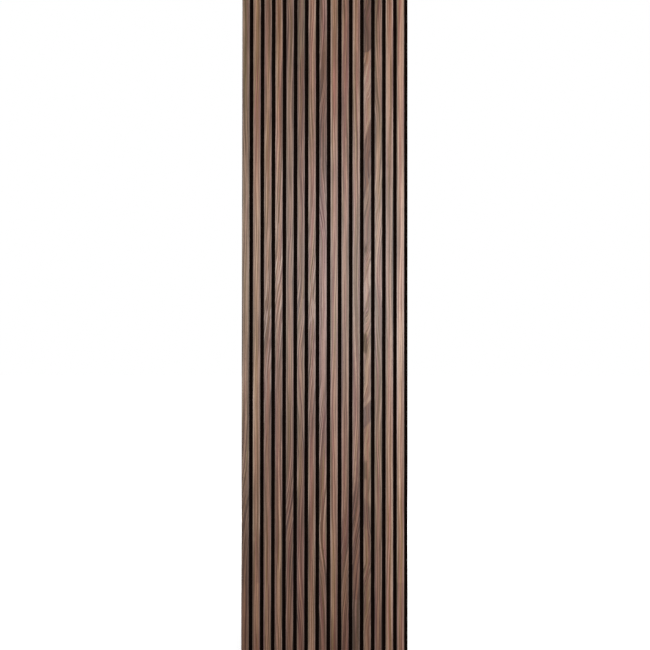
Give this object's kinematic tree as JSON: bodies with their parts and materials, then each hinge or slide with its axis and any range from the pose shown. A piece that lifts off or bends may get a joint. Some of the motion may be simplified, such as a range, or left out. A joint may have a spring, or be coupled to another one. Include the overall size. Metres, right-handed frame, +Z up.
{
  "type": "acoustic slat wall panel",
  "caption": "Tall acoustic wall panel: upright walnut-veneered fibreboard slats at an even pitch, stapled to a black felt backing that soaks up sound between them.",
  "frame": {"origin": "middle of the felt's back face, on the plane of the wall", "axes": "+Z up along the slats, +X across the panel from left to right as seen from the room, +Y into the wall, so the slats face -Y"},
  "size_m": [0.6, 0.021, 2.4],
  "materials": {
    "black_felt": "pressed polyester felt, dull black",
    "black_fibreboard": "dyed fibreboard, sawn, matt black",
    "walnut_veneer": "satin lacquered walnut veneer, grain along the slat",
    "staple_wire": "galvanised flat wire"
  },
  "bodies": {
    "root": {"felt_backing": "black_felt", "slat_core_01": "black_fibreboard", "slat_core_02": "black_fibreboard", "slat_core_03": "black_fibreboard", "slat_core_04": "black_fibreboard", "slat_core_05": "black_fibreboard", "slat_core_06": "black_fibreboard", "slat_core_07": "black_fibreboard", "slat_core_08": "black_fibreboard", "slat_core_09": "black_fibreboard", "slat_core_10": "black_fibreboard", "slat_core_11": "black_fibreboard", "slat_core_12": "black_fibreboard", "slat_core_13": "black_fibreboard", "slat_core_14": "black_fibreboard", "slat_core_15": "black_fibreboard", "slat_veneer_01": "walnut_veneer", "slat_veneer_02": "walnut_veneer", "slat_veneer_03": "walnut_veneer", "slat_veneer_04": "walnut_veneer", "slat_veneer_05": "walnut_veneer", "slat_veneer_06": "walnut_veneer", "slat_veneer_07": "walnut_veneer", "slat_veneer_08": "walnut_veneer", "slat_veneer_09": "walnut_veneer", "slat_veneer_10": "walnut_veneer", "slat_veneer_11": "walnut_veneer", "slat_veneer_12": "walnut_veneer", "slat_veneer_13": "walnut_veneer", "slat_veneer_14": "walnut_veneer", "slat_veneer_15": "walnut_veneer", "staples": "staple_wire"}
  },
  "joints": []
}
